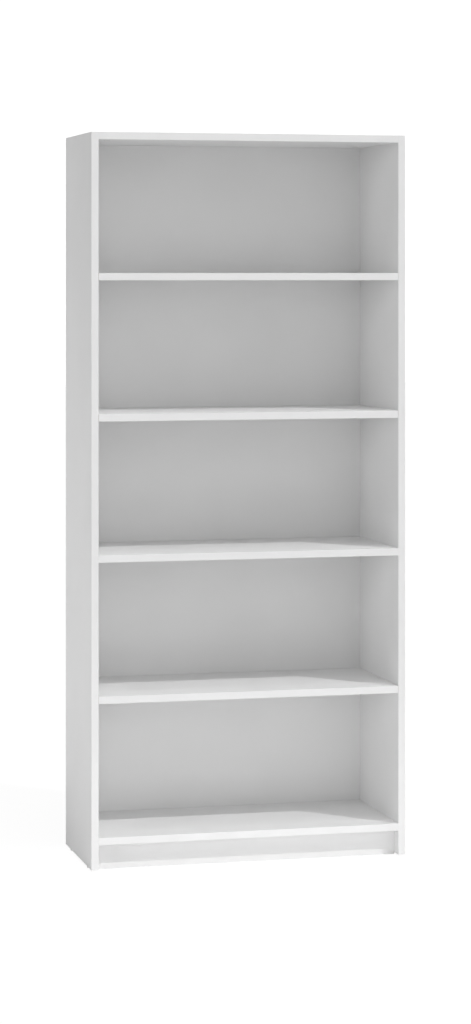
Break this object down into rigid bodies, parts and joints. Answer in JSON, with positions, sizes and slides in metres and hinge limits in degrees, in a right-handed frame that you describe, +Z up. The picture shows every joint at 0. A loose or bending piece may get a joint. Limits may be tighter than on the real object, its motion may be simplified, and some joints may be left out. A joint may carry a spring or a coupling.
{
  "type": "bookcase",
  "caption": "Tall open bookcase of white melamine-faced board with equal bays, a recessed plinth, a thin nailed back and loose shelves that slide forward on hidden wires.",
  "frame": {"origin": "on the floor, under the middle of the case's width and depth", "axes": "+Z up, +Y towards the wall, so the open front faces -Y, +X to the right seen from the front"},
  "size_m": [0.8, 0.34, 1.805],
  "materials": {
    "white_board": "satin",
    "white_edge_band": "satin",
    "white_hardboard": "satin",
    "white_plastic": "satin",
    "zinc_casting": "satin",
    "plated_steel": "satin",
    "beech": "matte"
  },
  "bodies": {
    "case": {"back_joining_strip": "white_plastic", "back_nails": "plated_steel", "back_sheet_lower": "white_hardboard", "back_sheet_upper": "white_hardboard", "bottom_board": "white_board", "bottom_cam_bolts": "plated_steel", "bottom_cam_locks": "zinc_casting", "bottom_dowels": "beech", "bottom_edge_band": "white_edge_band", "fixed_shelf_board": "white_board", "fixed_shelf_cam_bolts": "plated_steel", "fixed_shelf_cam_caps": "white_plastic", "fixed_shelf_cam_locks": "zinc_casting", "fixed_shelf_dowels": "beech", "fixed_shelf_edge_band": "white_edge_band", "glide_nails": "plated_steel", "left_side_front_edge_band": "white_edge_band", "left_side_panel": "white_board", "left_side_top_edge_band": "white_edge_band", "lower_shelf_wires": "plated_steel", "middle_shelf_wires": "plated_steel", "plinth_board": "white_board", "plinth_dowels": "beech", "right_side_front_edge_band": "white_edge_band", "right_side_panel": "white_board", "right_side_top_edge_band": "white_edge_band", "side_glides": "white_plastic", "top_board": "white_board", "top_cam_bolts": "plated_steel", "top_cam_caps": "white_plastic", "top_cam_locks": "zinc_casting", "top_dowels": "beech", "top_edge_band": "white_edge_band", "upper_shelf_wires": "plated_steel"},
    "lower_shelf": {"lower_shelf_board": "white_board", "lower_shelf_edge_band": "white_edge_band"},
    "middle_shelf": {"middle_shelf_board": "white_board", "middle_shelf_edge_band": "white_edge_band"},
    "upper_shelf": {"upper_shelf_board": "white_board", "upper_shelf_edge_band": "white_edge_band"}
  },
  "joints": [
    {"name": "lower_shelf_slide", "type": "slide", "parent": "case", "child": "lower_shelf", "axis": [0, -1, 0], "range_m": [0, 0.25]},
    {"name": "middle_shelf_slide", "type": "slide", "parent": "case", "child": "middle_shelf", "axis": [0, -1, 0], "range_m": [0, 0.25]},
    {"name": "upper_shelf_slide", "type": "slide", "parent": "case", "child": "upper_shelf", "axis": [0, -1, 0], "range_m": [0, 0.25]}
  ]
}
